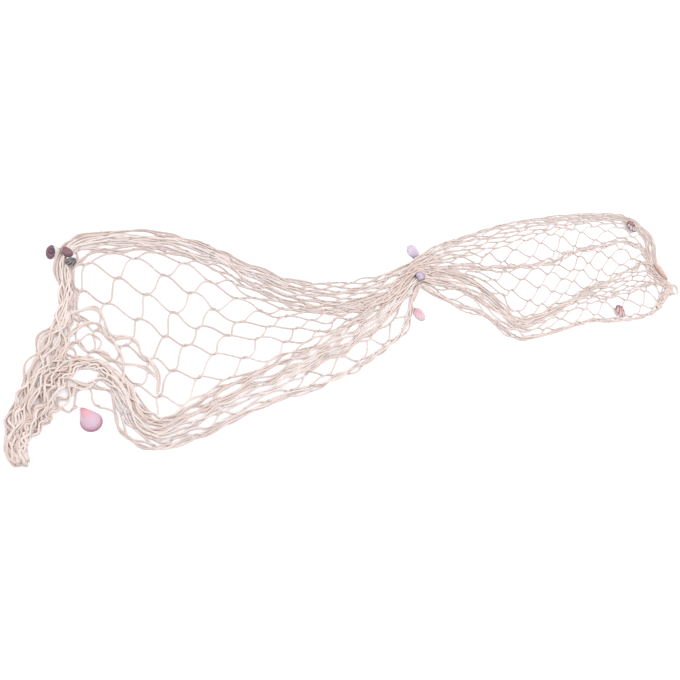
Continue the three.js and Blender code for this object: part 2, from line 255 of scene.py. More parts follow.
MAIN_FOLD = fold([
    # column, x, y, wide, high
    [0, -737, -129.6, 3, 10],
    [1, -728.5, -103.5, 5, 14],
    [2, -709, -80, 12, 18],
    [3, -688, -57, 17, 20],
    [4, -667, -37, 14, 15],
    [5, -641, -22, 10, 10],
    [6, -612, -32, 10, 8],
    [7, -597, -61, 13, 8],
    [8, -590.5, -100, 19, 9],
    [9, -576, -130, 29, 10],
    [10, -545, -133, 30, 10],
    [12, -480, -116, 37, 10],
    [14, -408, -103, 42, 10],
    [16, -343, -90, 43, 11],
    [18, -275, -76, 43, 11],
    [20, -205, -59, 42, 11],
    [22, -135, -37, 36, 12],
    [24, -60, 3, 26, 13],
    [25, -22, 22, 16, 14],
    [26, 12, 12, 30, 12],
    [27.6, 80, -8, 42, 11],
    [29, 132, -50, 46, 10],
    [30.5, 160, -108, 42, 10],
    [31.3, 188, -116, 34, 9],
    [33, 262, -104, 30, 9],
    [35.2, 345, -92, 33, 8],
    [37.5, 430, -81, 34, 8],
    [40, 515, -80, 36, 8],
    [42.2, 600, -75, 38, 8],
    [44.5, 675, -79, 30, 8],
    [45.5, 699, -93, 18, 8],
    [46.7, 709, -106, 10, 7],
    [48, 716, -120, 5, 5],
])
LOW_FOLD = fold([
    # column, x, y, wide, high
    [0, -734.5, -130, 2, 8],
    [1, -725.5, -105, 3, 10],
    [2, -702, -90, 7, 12],
    [3.6, -675, -60, 14, 12],
    [4.6, -646, -47.5, 13, 10],
    [5.6, -614, -59.5, 14, 8],
    [6.6, -606, -91, 12, 7],
    [7.6, -608, -124, 12, 7],
    [8.6, -589, -151, 12, 7],
    [10.5, -530, -152, 15, 7],
    [12.7, -457, -139, 18, 7],
    [14.8, -385, -126, 22, 7],
    [16.8, -312, -119, 24, 7],
    [18.8, -240, -111, 22, 7],
    [20.7, -170, -91, 19, 7],
    [22.3, -108, -68, 20, 8],
    [23.4, -75, -36, 18, 9],
    [24.3, -52, -4, 14, 11],
    [25, -26, 11, 10, 12],
    [26, -2, -10, 16, 10],
    [27.6, 52, -44, 16, 8],
    [29.5, 112, -84, 16, 8],
    [30.5, 138, -123, 18, 8],
    [32.5, 218, -136, 18, 7],
    [34.5, 300, -132, 18, 7],
    [36.7, 385, -130, 17, 7],
    [38.8, 465, -146, 18, 7],
    [41, 550, -152, 20, 7],
    [43, 630, -139, 26, 7],
    [44.8, 680, -120, 24, 7],
    [46.4, 705, -118, 10, 7],
    [48, 715, -125, 3, 5],
])
EDGE_LINE = fold([
    # column, x, y
    [0, -732.5, -130.4],
    [1, -723.5, -106.5],
    [2, -697, -94],
    [3.6, -668, -80],
    [4.6, -650, -78],
    [6.4, -625, -92],
    [7.6, -619, -125],
    [8.6, -592, -159],
    [10.5, -531, -162],
    [12.7, -455, -151],
    [14.8, -383, -141],
    [16.8, -309, -134],
    [18.8, -235, -125],
    [20.7, -163, -103],
    [22.3, -99, -80],
    [23.4, -69, -43],
    [24.3, -46, -10.5],
    [25, -23, 4],
    [26, 2, -27],
    [27.8, 62, -65],
    [29.5, 116, -100],
    [30.7, 142, -138],
    [32.6, 220, -149],
    [34.6, 301, -144],
    [36.7, 386, -142],
    [38.8, 466, -159],
    [41, 552, -162],
    [43.1, 635, -154],
    [44.9, 688, -136],
    [46.5, 709, -126],
    [48, 716, -128],
])
FOLDS = [
    # first row, last row, table, strands in its left and right part, and how gathered they are
    (0, 11, TOP_FOLD, (2.5, 3), (0.5, 0.3)),
    (12, 15, LOOSE_FOLD, (1, 1), (0.6, 0.6)),
    (19, 19, OPEN_LINE, None, None),
    (23, 36, MAIN_FOLD, (2.5, 1), (0.5, 0.95)),
    (37, 41, LOW_FOLD, (1, 1), (0.6, 0.6)),
    (42, 42, EDGE_LINE, None, None),
]
MAIN, LOW = 3, 4
# Where the strands of the main fold lie in the right fan: side by side at first, and later
# apart, one along each of its edges. Knot column and phase in turns.
MAIN_PHASE = ([28, 31, 35.5, 38.5, 48], [0.5, 0.5, 0.5, 1, 1])
# The long middle strand of the right fan: knot column, the row that it follows, and how much
# of the way the seven rows around it have been drawn to it.
MIDDLE_STRAND = np.array([
    [27, 19, 0], [29, 19, 0.7], [31, 19, 0.85], [33, 18.7, 0.88], [35, 18.2, 0.88],
    [38, 17.2, 0.85], [41, 15.8, 0.8], [43, 15.2, 0.5], [45, 15.2, 0],
])
# The upper strand of the main fold leaves it at the far end and climbs to the right edge.
CLIMB = ([39.5, 42, 43.5, 45, 47], [0, 1.5, 3.5, 2.5, 0])
# How much longer than straight the cords of a fold lie, by knot column: the tail is crumpled.
LOOSENESS = ([0, 3, 4, 5.5, 8, 45, 48], [0.6, 0.6, 0.4, 0.12, 0.025, 0.02, 0.15])
# The shells, which the cords lie beside, under or over.
SHELLS = {
    # middle x and y, height of the underside, way the rim points in degrees, long, wide, high
    "clam": (-647.5, -98.5, 0, -68, 36, 28, 10),
    "corner_dark": (-634, 147, 0, -110, 22, 12, 8),
    "corner_brown": (-614.5, 140, 8.3, -60, 17, 13, 7),
    "corner_striped": (-613.5, 125, 8.3, -165, 16, 11, 6),
    "waist_lavender": (-4.5, 74.6, 0, 68, 30, 27, 9),
    "waist_white": (-27, 17, 14, 10, 21, 18, 7),
    "waist_pink": (-55, -49.5, 0, -70, 28, 22, 8),
    "right_red": (691, 59, 8.3, -72, 32, 28, 9),
    "right_striped": (484.5, -138, 7.3, -76, 31, 24, 9),
    "end_tan": (707, -69, 7.3, -71.5, 50, 19, 9),
}
chance = np.random.default_rng(3)


def along_fold(table, key, column):
    """One value of a fold at any place along the net, as a smooth cubic through its rows."""
    at, value = table[:, 0], table[:, key]
    slope = np.empty(len(at))
    slope[1:-1] = (value[2:] - value[:-2]) / (at[2:] - at[:-2])
    slope[0] = (value[1] - value[0]) / (at[1] - at[0])
    slope[-1] = (value[-1] - value[-2]) / (at[-1] - at[-2])
    k = np.clip(np.searchsorted(at, column) - 1, 0, len(at) - 2)
    span = at[k + 1] - at[k]
    part = (column - at[k]) / span
    rise = value[k + 1] - value[k]
    lift = slope[k] * span - rise
    drop = slope[k + 1] * span - rise
    return value[k] + rise * part + part * (1 - part) * (lift * (1 - part) - drop * part)


def across_fold(table, column, share):
    """The place at a share of the fold's width, from its upper edge to its lower one."""
    middle = np.stack([along_fold(table, 1, column), along_fold(table, 2, column)], -1)
    before = np.clip(column - 0.05, 0, LAST_COLUMN)
    after = np.clip(column + 0.05, 0, LAST_COLUMN)
    run = np.stack(
        [
            along_fold(table, 1, after) - along_fold(table, 1, before),
            along_fold(table, 2, after) - along_fold(table, 2, before),
        ],
        -1,
    )
    run /= np.linalg.norm(run, axis=-1, keepdims=True)
    left = np.stack([-run[:, 1], run[:, 0]], -1)
    return middle + left * (along_fold(table, 3, column) * (0.5 - share))[:, None]


def lying(column, row):
    """Where a knot lies. Rows between two folds are spread evenly from one to the other."""
    place = np.zeros((len(column), 2))
    for k, (first, last, table, strands, gathered) in enumerate(FOLDS):
        inside = (row >= first) & (row <= last)
        share = (row - first) / (last - first) if last > first else np.full(len(row), 0.5)
        place[inside] = across_fold(table, column[inside], share[inside])
        if last == LAST_ROW:
            break
        next_first, next_last, next_table = FOLDS[k + 1][:3]
        between = (row > last) & (row < next_first)
        some = column[between]
        upper = across_fold(table, some, np.full(len(some), 1.0 if last > first else 0.5))
        lower = across_fold(
            next_table, some, np.full(len(some), 0.0 if next_last > next_first else 0.5)
        )
        part = ((row[between] - last) / (next_first - last))[:, None]
        place[between] = upper * (1 - part) + lower * part
    return place


def wander(rows, columns, reach):
    """Smooth random numbers along each row, with a spread of one."""
    rough = chance.standard_normal((rows, columns + 4 * reach))
    weight = np.hanning(2 * reach + 3)[1:-1]
    weight /= np.sqrt((weight**2).sum())
    smooth = [np.convolve(one, weight, "same")[2 * reach : 2 * reach + columns] for one in rough]
    return np.array(smooth)


# Every second column of each row holds a knot. Neighbouring rows have slid a little against
# each other along the net, and the cords of a fold have drawn together into strands.
knot_column, knot_row = np.array(
    [(c, r) for r in range(LAST_ROW + 1) for c in range(r % 2, LAST_COLUMN + 1, 2)]
).T
slid = np.cumsum(wander(LAST_ROW + 1, LAST_COLUMN + 1, 3) * 0.16, axis=0)
around = [slid[max(0, r - 3) : r + 4].mean(axis=0) for r in range(LAST_ROW + 1)]
slid = slid - 0.75 * np.array(around)
drawn_column = np.clip(knot_column + slid[knot_row, knot_column], 0, LAST_COLUMN)
drawn_row = knot_row.astype(float)
heap = np.full(len(knot_row), 3.0)
drift = np.cumsum(wander(len(FOLDS), LAST_COLUMN + 1, 6), axis=1) * 0.4
in_right_fan = np.interp(np.arange(LAST_COLUMN + 1), [24, 30], [0, 1])
phase = drift * (1 - in_right_fan)
phase[MAIN] += 2 * np.pi * in_right_fan * np.interp(np.arange(LAST_COLUMN + 1), *MAIN_PHASE)
for k, (first, last, table, strands, gathered) in enumerate(FOLDS):
    here = (knot_row >= first) & (knot_row <= last)
    if strands:
        share = (knot_row[here] - first) / (last - first)
        if table is TOP_FOLD:
            share = share ** (1 + 0.5 * in_right_fan[knot_column[here]])
        part = in_right_fan[knot_column[here]]
        count = strands[0] + (strands[1] - strands[0]) * part
        wave = np.sin(2 * np.pi * count * share + phase[k][knot_column[here]])
        wave *= gathered[0] + (gathered[1] - gathered[0]) * part
        share = np.clip(share - wave / (2 * np.pi * count), 0, 1)
        drawn_row[here] = first + share * (last - first)
    if table[:, 4].any():
        heap[here] = along_fold(table, 4, knot_column[here].astype(float))
middle = (knot_row >= 13) & (knot_row <= 19)
followed = np.interp(knot_column, MIDDLE_STRAND[:, 0], MIDDLE_STRAND[:, 1])
pull = np.interp(knot_column, MIDDLE_STRAND[:, 0], MIDDLE_STRAND[:, 2])
drawn_row[middle] += ((followed - drawn_row) * pull)[middle]
climbing = (knot_row >= 23) & (knot_row <= 29)
drawn_row[climbing] -= np.interp(knot_column, *CLIMB)[climbing]
# The lowest rows have drawn together along the lower edge.
lowest = knot_row >= 37
together = np.interp(knot_column, [8, 10, 29, 32, 46], [0, 0.5, 0.5, 0.78, 0.78])
drawn_row[lowest] += ((41.3 - drawn_row) * together)[lowest]
knots = np.zeros((len(knot_row), 3))
knots[:, :2] = lying(drawn_column, drawn_row) + chance.normal(0, 0.5, (len(knot_row), 2))
# The cords go round the netting's upper left corner in a wide bend, close to the dark shell.
corner = np.interp(knot_column, [6, 7, 8, 9, 10, 11], [0, 1, 4, 14, 4, 0])
knots[:, 0] -= corner * np.clip(1 - knot_row / 9, 0, 1)
# The knots of the open rows lie less evenly than the others.
is_open = (knot_row >= 16) & (knot_row <= 22) | (knot_row >= 37) & (knot_row <= 38)
thrown = np.interp(knot_column, [9, 12, 32, 36], [3, 1.2, 1.2, 5])[:, None]
thrown = thrown * chance.standard_normal((len(knot_row), 2))
knots[:, :2] += np.where(is_open[:, None], thrown, 0)
knots[:, 2] = CORD / 2 + (0.15 + 0.7 * chance.random(len(knot_row))) * np.maximum(heap - CORD, 0)


# Each run of twine zigzags between two rows, through a knot at every column. A bar is the
# stretch between two knots, twelve short steps long, which starts as a bow with its slack.
number = {(c, r): i for i, (c, r) in enumerate(zip(knot_column, knot_row))}
bars = np.array(
    [
        (number[k, r + (k + r) % 2], number[k + 1, r + (k + 1 + r) % 2])
        for r in range(LAST_ROW)
        for k in range(LAST_COLUMN)
    ]
)
start, end = knots[bars[:, 0]], knots[bars[:, 1]]
apart = np.linalg.norm(end - start, axis=1)
in_fold = np.full(len(knot_row), -1)
for k, (first, last, table, strands, gathered) in enumerate(FOLDS):
    if strands:
        in_fold[(knot_row >= first) & (knot_row <= last)] = k
# The lowest row hangs together with the low fold, but not beside the waist.
in_fold[(knot_row == LAST_ROW) & ((knot_column < 26) | (knot_column > 30))] = LOW
drawn = (in_fold[bars[:, 0]] == in_fold[bars[:, 1]]) & (in_fold[bars[:, 0]] >= 0)
loose = np.interp(knot_column[bars[:, 0]], *LOOSENESS)
loose = np.where(drawn, loose, np.maximum(loose, 0.04 + 0.14 * chance.random(len(bars))))
bar_length = np.minimum(BAR, apart * (1 + loose))
slack = np.sqrt(np.clip(bar_length / np.maximum(apart, 12) - 1, 0, 1.5))
bow = 2 * np.maximum(apart, 12) / np.pi * slack
waves = np.where(apart > 36, 1, np.clip(np.ceil(bow / 4), 1, 3))
course = np.cumsum(wander(LAST_ROW + 2, LAST_COLUMN + 2, 2), axis=0)
course = course[knot_row[bars[:, 0]], knot_column[bars[:, 0]]]
side_taken = np.where(np.sin(1.1 * course) + chance.normal(0, 0.5, len(bars)) > 0, 1, -1)
level = np.stack([start[:, 1] - end[:, 1], end[:, 0] - start[:, 0], np.zeros(len(bars))], 1)
level /= np.maximum(np.linalg.norm(level, axis=1), 1e-6)[:, None]
step = np.linspace(0, 1, STEPS + 1)[None, 1:-1, None]
bow *= chance.uniform(0.7, 1.3, len(bars))
bow = (bow / waves * side_taken)[:, None, None] * np.sin(np.pi * waves[:, None, None] * step)
inner = start[:, None] * (1 - step) + end[:, None] * step + bow * level[:, None]
inner[:, :, 2] += chance.random((len(bars), 1))
points = np.concatenate([knots, inner.reshape(-1, 3)])
inner_number = len(knots) + np.arange(len(bars) * (STEPS - 1)).reshape(len(bars), -1)
bar_points = np.concatenate([bars[:, :1], inner_number, bars[:, 1:]], axis=1)
runs = bar_points[:, :-1].reshape(LAST_ROW, -1)
runs = np.concatenate([runs, bar_points[LAST_COLUMN - 1 :: LAST_COLUMN, -1:]], axis=1)


def near_pairs(points, reach):
    """The pairs of points that are closer together than the reach."""
    cell = np.floor(points / reach).astype(np.int64)
    cell -= cell.min(axis=0) - 1
    size = cell.max(axis=0) + 2
    key = (cell[:, 0] * size[1] + cell[:, 1]) * size[2] + cell[:, 2]
    order = np.argsort(key, kind="stable")
    key = key[order]
    steps = [(a, b, c) for a in (-1, 0, 1) for b in (-1, 0, 1) for c in (-1, 0, 1)]
    firsts, seconds = [], []
    for a, b, c in [one for one in steps if one >= (0, 0, 0)]:
        wanted = key + (a * size[1] + b) * size[2] + c
        low = np.searchsorted(key, wanted, "left")
        if (a, b, c) == (0, 0, 0):
            low = np.arange(len(key)) + 1
        count = np.maximum(np.searchsorted(key, wanted, "right") - low, 0)
        first = np.repeat(np.arange(len(key)), count)
        offset = np.repeat(low - np.cumsum(count) + count, count)
        second = order[offset + np.arange(count.sum())]
        first = order[first]
        close = ((points[first] - points[second]) ** 2).sum(axis=1) < reach**2
        firsts.append(first[close])
        seconds.append(second[close])
    return np.concatenate(firsts), np.concatenate(seconds)


def may_touch(first, second):
    """Leaves out neighbours on one bar, and the cords that meet in one knot."""
    apart_on_bar = np.abs(place_on_bar[first] - place_on_bar[second])
    apart = (bar_of[first] != bar_of[second]) | (bar_of[first] < 0) | (apart_on_bar > 2)
    for one in (start_knot, end_knot):
        for other in (start_knot, end_knot):
            apart &= (one[first] != other[second]) | (one[first] < 0)
    return apart


# The laid net settles: every bar keeps its length, bends softly, stays above the surface,
# lies on or beside the cords and shells that it meets, and its knots stay where they fell.
bar_of = np.full(len(points), -1)
bar_of[inner_number] = np.arange(len(bars))[:, None]
place_on_bar = np.zeros(len(points), int)
place_on_bar[inner_number] = np.arange(1, STEPS)
start_knot = np.where(bar_of < 0, np.arange(len(points)), -1)
end_knot = start_knot.copy()
start_knot[inner_number[:, :2]] = bars[:, :1]
end_knot[inner_number[:, -2:]] = bars[:, 1:]

from_point, to_point = runs[:, :-1].ravel(), runs[:, 1:].ravel()
step_length = np.repeat(bar_length / STEPS, STEPS)
shared_by = np.bincount(np.concatenate([from_point, to_point]), minlength=len(points))
shared_by = np.maximum(shared_by, 1)[:, None].astype(float)
# The cords of the tail bend more easily, so they keep their curls.
point_column = np.concatenate([knot_column, np.repeat(knot_column[bars[:, 0]], STEPS - 1)])
limp = np.interp(point_column, [3, 7], [0.75, 1])
bends = []
for reach, soft, at_knot in [(1, 0.22, 0.5), (2, 0.14, 0.3)]:
    before, middle, after = runs[:, : -2 * reach], runs[:, reach:-reach], runs[:, 2 * reach :]
    stiffness = (np.where(middle < len(knots), at_knot, soft) * limp[middle]).ravel()[:, None]
    bends.append((before.ravel(), middle.ravel(), after.ravel(), stiffness))


def gather(*pushes):
    """Adds up the pushes on each point."""
    total = np.zeros((len(points), 3))
    for which, push in pushes:
        for axis in range(3):
            total[:, axis] += np.bincount(which, push[:, axis], minlength=len(points))
    return total


def keep_length(first, second, length, only_shorten, share):
    """Moves points so that what joins them has its length again."""
    between = points[second] - points[first]
    far = np.maximum(np.linalg.norm(between, axis=1), 1e-6)
    wrong = far - length
    if only_shorten:
        wrong = np.maximum(wrong, 0)
    push = between * (wrong / far / 2)[:, None]
    return gather((first, push), (second, -push)) * share


def clear_shells():
    """Lays cords over the shells that lie on the surface, and under the ones on a fold."""
    for x, y, base, heading, long, wide, high in SHELLS.values():
        c, s = np.cos(np.radians(heading)), np.sin(np.radians(heading))
        from_middle = points[:, :2] - (x, y)
        along = from_middle @ (c, s) / (long / 2)
        across = from_middle @ (-s, c) / (wide / 2)
        inside = 1 - along**2 - across**2
        if base > 0:
            low = (inside > 0) & (points[:, 2] > base - CORD / 2)
            points[low, 2] = base - CORD / 2
        else:
            back = CORD / 2 + high * np.sqrt(np.maximum(inside, 0))
            points[:, 2] = np.where(inside > 0, np.maximum(points[:, 2], back), points[:, 2])


# Each round it sinks a little, is drawn back towards where it fell, bends, takes its length
# again, and moves apart where it touches. The last rounds leave out the first two.
fell_at = points.copy()
ROUNDS = 180
for count in range(ROUNDS):
    if count % 6 == 0:
        first, second = near_pairs(points, 4)
        meet = may_touch(first, second)
        first, second = first[meet], second[meet]
    ending = count > ROUNDS - 25
    if not ending:
        points[:, 2] -= 0.06
        points += (fell_at - points) * (0.06, 0.06, 0.02)
    for before, middle, after, stiffness in bends:
        push = ((points[before] + points[after]) / 2 - points[middle]) * stiffness
        points += gather((middle, push), (before, -push / 2), (after, -push / 2)) / (
            shared_by / 2
        )
    for again in range(2):
        points += keep_length(bars[:, 0], bars[:, 1], bar_length * 0.998, True, 0.4)
        points += keep_length(from_point, to_point, step_length, False, 1.7 / shared_by)
    between = points[second] - points[first]
    far = np.maximum(np.linalg.norm(between, axis=1), 1e-6)
    touch = far < CORD
    push = between[touch] * ((far[touch] - CORD) / far[touch] / 2)[:, None]
    crowd = np.bincount(np.concatenate([first[touch], second[touch]]), minlength=len(points))
    points += gather((first[touch], push), (second[touch], -push)) / np.sqrt(
        np.maximum(crowd, 1)
    )[:, None]
    clear_shells()
    points[:, 2] = np.maximum(points[:, 2], FUZZY_CORD / 2)

# Where a shell rests on a fold, the cords heap up to it.
for x, y, base, heading, long, wide, high in SHELLS.values():
    if base > 0:
        away = np.linalg.norm(points[:, :2] - (x, y), axis=1)
        top = points[away < 0.3 * long, 2].max()
        rise = max((base - CORD / 2) / top, 1) - 1
        points[:, 2] *= 1 + rise * np.exp(-((away / (0.8 * long)) ** 2))
clear_shells()


# ---- Cotton cord --------------------------------------------------------------------------
# Natural undyed cotton, three plies twisted into a 2.4 mm cord. Its plies show as fine slanted
# ridges, with painted shade in the grooves between them. With its short loose fibres it measures
# 2.8 mm. Cords lying low on the surface are tinted greyer as painted shade; heaped cords stay
# creamy.
def sum_up(tree, kind, *values):
    """The result of a Math node. Each value is a number or an output."""
    node = add_node(tree, "ShaderNodeMath", {"operation": kind})
    for socket, value in zip(node.inputs, values):
        plug(tree, value, socket)
    return node.outputs["Value"]


def stored(tree, attribute, output="Fac"):
    """What the mesh keeps at each point, such as how far along its cord it lies."""
    return add_node(tree, "ShaderNodeAttribute", {"attribute_name": attribute}).outputs[output]


def graded(tree, share, tints, begin=0.0):
    """Goes through the tints one after another, as the share rises to one."""
    ramp = add_node(tree, "ShaderNodeValToRGB", Fac=share)
    stops = ramp.color_ramp.elements
    stops[0].position = begin
    stops[0].color = (*tints[0], 1)
    stops[1].color = (*tints[-1], 1)
    for k, tint in enumerate(tints[1:-1], 1):
        stops.new(k / (len(tints) - 1)).color = (*tint, 1)
    return ramp.outputs["Color"]


def relief(tree, shader, height, strength, deep):
    """Gives the surface fine relief that follows the height."""
    bump = add_node(tree, "ShaderNodeBump", Strength=strength, Distance=deep, Height=height)
    plug(tree, bump.outputs["Normal"], shader.inputs["Normal"])


def cotton_cord(name, pale, brown, single, twist):
    material, tree, fibre = new_material(
        name, Roughness=0.92, Specular_IOR_Level=0.2, Sheen_Weight=0.35, Sheen_Roughness=0.6
    )
    split = add_node(tree, "ShaderNodeSeparateXYZ", Vector=stored(tree, "ring", "Vector"))
    angle = sum_up(tree, "ARCTAN2", split.outputs["Y"], split.outputs["X"])
    lean = sum_up(tree, "MULTIPLY", stored(tree, "along"), 2 * np.pi / twist)
    ply = sum_up(tree, "SINE", sum_up(tree, "MULTIPLY_ADD", angle, 3.0, lean), 0.0)
    fuzz = mottle(tree, 900, 4)

    # The ply ridges darken the grooves between them as painted shade; the fuzz, the two mottles
    # and each cord's shade value are random tone.
    dark = sum_up(tree, "MULTIPLY_ADD", ply, -0.2, 0.25)
    dark = sum_up(tree, "MULTIPLY_ADD", fuzz, 0.25, dark)
    dark = sum_up(tree, "MULTIPLY_ADD", mottle(tree, 26, 3), 0.35, dark)
    dark = sum_up(tree, "MULTIPLY_ADD", stored(tree, "shade"), 0.35, dark)
    tone = graded(tree, dark, [pale, brown], begin=0.25)

    # Cords count as heaped from 1.5 mm up, and wholly so from 5 mm. Cords below that are tinted
    # greyer by the single tint, as painted shade.
    place = add_node(tree, "ShaderNodeTexCoord").outputs["Object"]
    level = add_node(tree, "ShaderNodeSeparateXYZ", Vector=place).outputs["Z"]
    heaped = sum_up(tree, "MULTIPLY", sum_up(tree, "SUBTRACT", level, 0.0015), 300.0)
    heaped = sum_up(tree, "MINIMUM", sum_up(tree, "MAXIMUM", heaped, 0.0), 1.0)
    low_cord_shade = sum_up(tree, "SUBTRACT", 1.0, heaped)
    plug(tree, mixed(tree, low_cord_shade, tone, single, "MULTIPLY"), fibre.inputs["Base Color"])
    relief(tree, fibre, sum_up(tree, "MULTIPLY_ADD", fuzz, 0.5, ply), 0.6, 0.0003)
    return material


# single is the cool grey painted shade laid over cords that lie low on the surface.
cotton = cotton_cord(
    "natural cotton cord", pale=(0.92, 0.84, 0.815), brown=(0.65, 0.49, 0.42),
    single=(0.86, 0.87, 0.91), twist=0.0023,
)


def modifier_tree(name, gives, **takes):
    """An empty tree for a modifier: what comes in, and what the modifier calls it."""
    tree = bpy.data.node_groups.new(name, "GeometryNodeTree")
    tree.is_modifier = True
    sockets = [
        tree.interface.new_socket(one, in_out="INPUT", socket_type="NodeSocket" + kind)
        for one, kind in takes.items()
    ]
    tree.interface.new_socket(gives, in_out="OUTPUT", socket_type="NodeSocketGeometry")
    come_in = tree.nodes.new("NodeGroupInput").outputs
    return tree, come_in, [one.identifier for one in sockets[1:]]


def end_tree(tree, come_in, gives, shape):
    """Ends a tree with a plain mesh in the material that came in."""
    real = add_node(tree, "GeometryNodeRealizeInstances", Geometry=shape).outputs["Geometry"]
    finish = add_node(
        tree, "GeometryNodeSetMaterial", Geometry=real, Material=come_in["Material"]
    )
    add_node(tree, "NodeGroupOutput", **{gives: finish.outputs["Geometry"]})


def cord_tree():
    """A round cord along the edges that come in, with the way round and along it kept."""
    tree, come_in, inputs = modifier_tree(
        "round cord", "Cord", Path="Geometry", Diameter="Float", Sides="Int", Material="Material"
    )
    path = add_node(tree, "GeometryNodeMeshToCurve", Mesh=come_in["Path"])
    half = sum_up(tree, "MULTIPLY", come_in["Diameter"], 0.5)
    circle = add_node(
        tree, "GeometryNodeCurvePrimitiveCircle", Resolution=come_in["Sides"], Radius=half
    )
    position = add_node(tree, "GeometryNodeInputPosition").outputs["Position"]
    outward = add_node(
        tree, "ShaderNodeVectorMath", {"operation": "NORMALIZE"}, Vector=position
    )
    ring = add_node(
        tree, "GeometryNodeStoreNamedAttribute", {"data_type": "FLOAT_VECTOR"}, Name="ring",
        Geometry=circle.outputs["Curve"], Value=outward.outputs["Vector"],
    )
    sweep = add_node(
        tree, "GeometryNodeCurveToMesh", Curve=path.outputs["Curve"], Fill_Caps=True,
        Profile_Curve=ring.outputs["Geometry"],
    )
    smooth = add_node(tree, "GeometryNodeSetShadeSmooth", Geometry=sweep.outputs["Mesh"])
    end_tree(tree, come_in, "Cord", smooth.outputs["Geometry"])
    return tree, *inputs


round_cord, diameter_input, sides_input, material_input = cord_tree()


def made_by_nodes(name, source, tree, values):
    """A plain mesh object of what the tree makes from the source mesh."""
    start = bpy.data.objects.new(name + "-start", source)
    bpy.context.scene.collection.objects.link(start)
    maker = start.modifiers.new("maker", "NODES")
    maker.node_group = tree
    for identifier, value in values.items():
        maker[identifier] = value
    graph = bpy.context.evaluated_depsgraph_get()
    made = bpy.data.meshes.new_from_object(start.evaluated_get(graph), depsgraph=graph)
    bpy.data.objects.remove(start)
    made.name = name
    piece = bpy.data.objects.new(name, made)
    bpy.context.scene.collection.objects.link(piece)
    return piece


def laid_cords(name, lines, thick, sides, material, closed=False):
    """One mesh of round cords, each along its own line of points in metres."""
    path = bpy.data.meshes.new(name + "-path")
    places = np.concatenate(lines)
    edges, begin = [], 0
    for line in lines:
        edges += [(begin + k, begin + k + 1) for k in range(len(line) - 1)]
        if closed:
            edges.append((begin + len(line) - 1, begin))
        begin += len(line)
    path.from_pydata(places.tolist(), edges, [])
    far = [np.linalg.norm(np.diff(line, axis=0), axis=1) for line in lines]
    along = np.concatenate([np.concatenate([[0], np.cumsum(one)]) for one in far])
    path.attributes.new("along", "FLOAT", "POINT").data.foreach_set("value", along)
    shade = np.concatenate([np.full(len(line), chance.random()) for line in lines])
    path.attributes.new("shade", "FLOAT", "POINT").data.foreach_set("value", shade)
    values = {diameter_input: thick, sides_input: sides, material_input: material}
    return made_by_nodes(name, path, round_cord, values)


# ---- Netting ------------------------------------------------------------------------------
# The runs of twine as they lie, in three lengths of sixteen columns each. Every run is one
# cord from end to end, and the lengths meet inside the knots of a column.
def rounded(line, pieces):
    """A finer line through the same points, without corners."""
    line = np.concatenate([[2 * line[0] - line[1]], line, [2 * line[-1] - line[-2]]])
    count = (len(line) - 3) * pieces // STEPS
    at = np.linspace(0, len(line) - 3, count + 1)
    k = np.minimum(at.astype(int), len(line) - 4)
    t = (at - k)[:, None]
    a, b, c, d = line[k], line[k + 1], line[k + 2], line[k + 3]
    return (
        2 * b + (c - a) * t + (2 * a - 5 * b + 4 * c - d) * t**2 + (3 * b - a - 3 * c + d) * t**3
    ) / 2


lying_points = points / 1000
lying_points[:, :2] += CENTRE / 1000
NETTING = [
    # name, first column, last column
    ("netting_left", 0, 16),
    ("netting_middle", 16, 32),
    ("netting_right", 32, 48),
]
for name, first_column, last_column in NETTING:
    stretch = slice(first_column * STEPS, last_column * STEPS + 1)
    lines = [rounded(lying_points[run[stretch]], 16) for run in runs]
    piece = laid_cords(name, lines, FUZZY_CORD / 1000, 8, cotton)
    share = (last_column - first_column) / LAST_COLUMN
    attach(piece, "root")
    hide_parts("net")


# ---- Knots --------------------------------------------------------------------------------
# Where two runs of twine meet they are tied in a weaver's knot, 6 to 9 mm long, which lies
# along the netting. One small knotted loop of the same cord is set at every meeting place.
def knot_tree():
    """Copies one knot to every place that comes in, turned and sized as it says."""
    tree, come_in, inputs = modifier_tree(
        "tied knots", "Knots", Places="Geometry", Knot="Object", Material="Material"
    )
    knot = add_node(tree, "GeometryNodeObjectInfo", Object=come_in["Knot"])
    turned, size = [
        add_node(tree, "GeometryNodeInputNamedAttribute", {"data_type": kind}, Name=name)
        for name, kind in (("turned", "FLOAT_VECTOR"), ("size", "FLOAT"))
    ]
    as_turn = add_node(tree, "FunctionNodeEulerToRotation", Euler=turned.outputs["Attribute"])
    put = add_node(
        tree, "GeometryNodeInstanceOnPoints", Points=come_in["Places"],
        Instance=knot.outputs["Geometry"], Rotation=as_turn.outputs["Rotation"],
        Scale=size.outputs["Attribute"],
    )
    end_tree(tree, come_in, "Knots", put.outputs["Instances"])
    return tree, *inputs


KNOT_LEVEL = 0.0026  # the least height of a knot's middle over the surface
t = np.linspace(0, 2 * np.pi, 15)[:-1]
loop = np.stack([np.cos(t) - 2 * np.cos(2 * t), np.sin(t) + 2 * np.sin(2 * t), -np.sin(3 * t)], 1)
loop *= (0.0011, 0.0006, 0.0006)
knot_loop = laid_cords("knot_loop", [loop], 0.0020, 5, cotton, closed=True)

